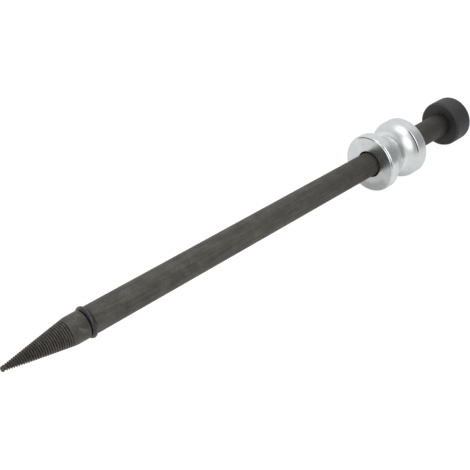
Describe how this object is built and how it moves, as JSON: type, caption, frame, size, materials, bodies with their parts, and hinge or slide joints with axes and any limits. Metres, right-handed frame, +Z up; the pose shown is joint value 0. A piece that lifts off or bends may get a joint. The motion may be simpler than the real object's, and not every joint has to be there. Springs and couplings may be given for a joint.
{
  "type": "slide hammer puller",
  "caption": "Slide hammer puller: a round bar with a taper threaded tip, a turned spool weight that slides along it and a plain round end stop.",
  "frame": {"origin": "point of the taper threaded tip, on the bar's axis", "axes": "+X along the bar from the tip to the end stop, +Y and +Z across the bar, +Z up when the tool is held level"},
  "size_m": [0.3705, 0.0394, 0.0394],
  "materials": {
    "tip_steel": "hardened and phosphated, mottled grey",
    "ring_rubber": "smooth black",
    "bar_steel": "phosphated and oiled, dark grey-brown",
    "plated_steel": "bright zinc plating over turned steel",
    "stop_steel": "black oxide, satin"
  },
  "bodies": {
    "bar": {"bar": "bar_steel", "taper_tip": "tip_steel", "retaining_ring": "ring_rubber", "end_stop": "stop_steel"},
    "slide_weight": {"slide_weight": "plated_steel"}
  },
  "joints": [
    {"name": "weight_slide", "type": "slide", "parent": "bar", "child": "slide_weight", "axis": [1, 0, 0], "range_m": [-0.2256, 0.0405]}
  ]
}
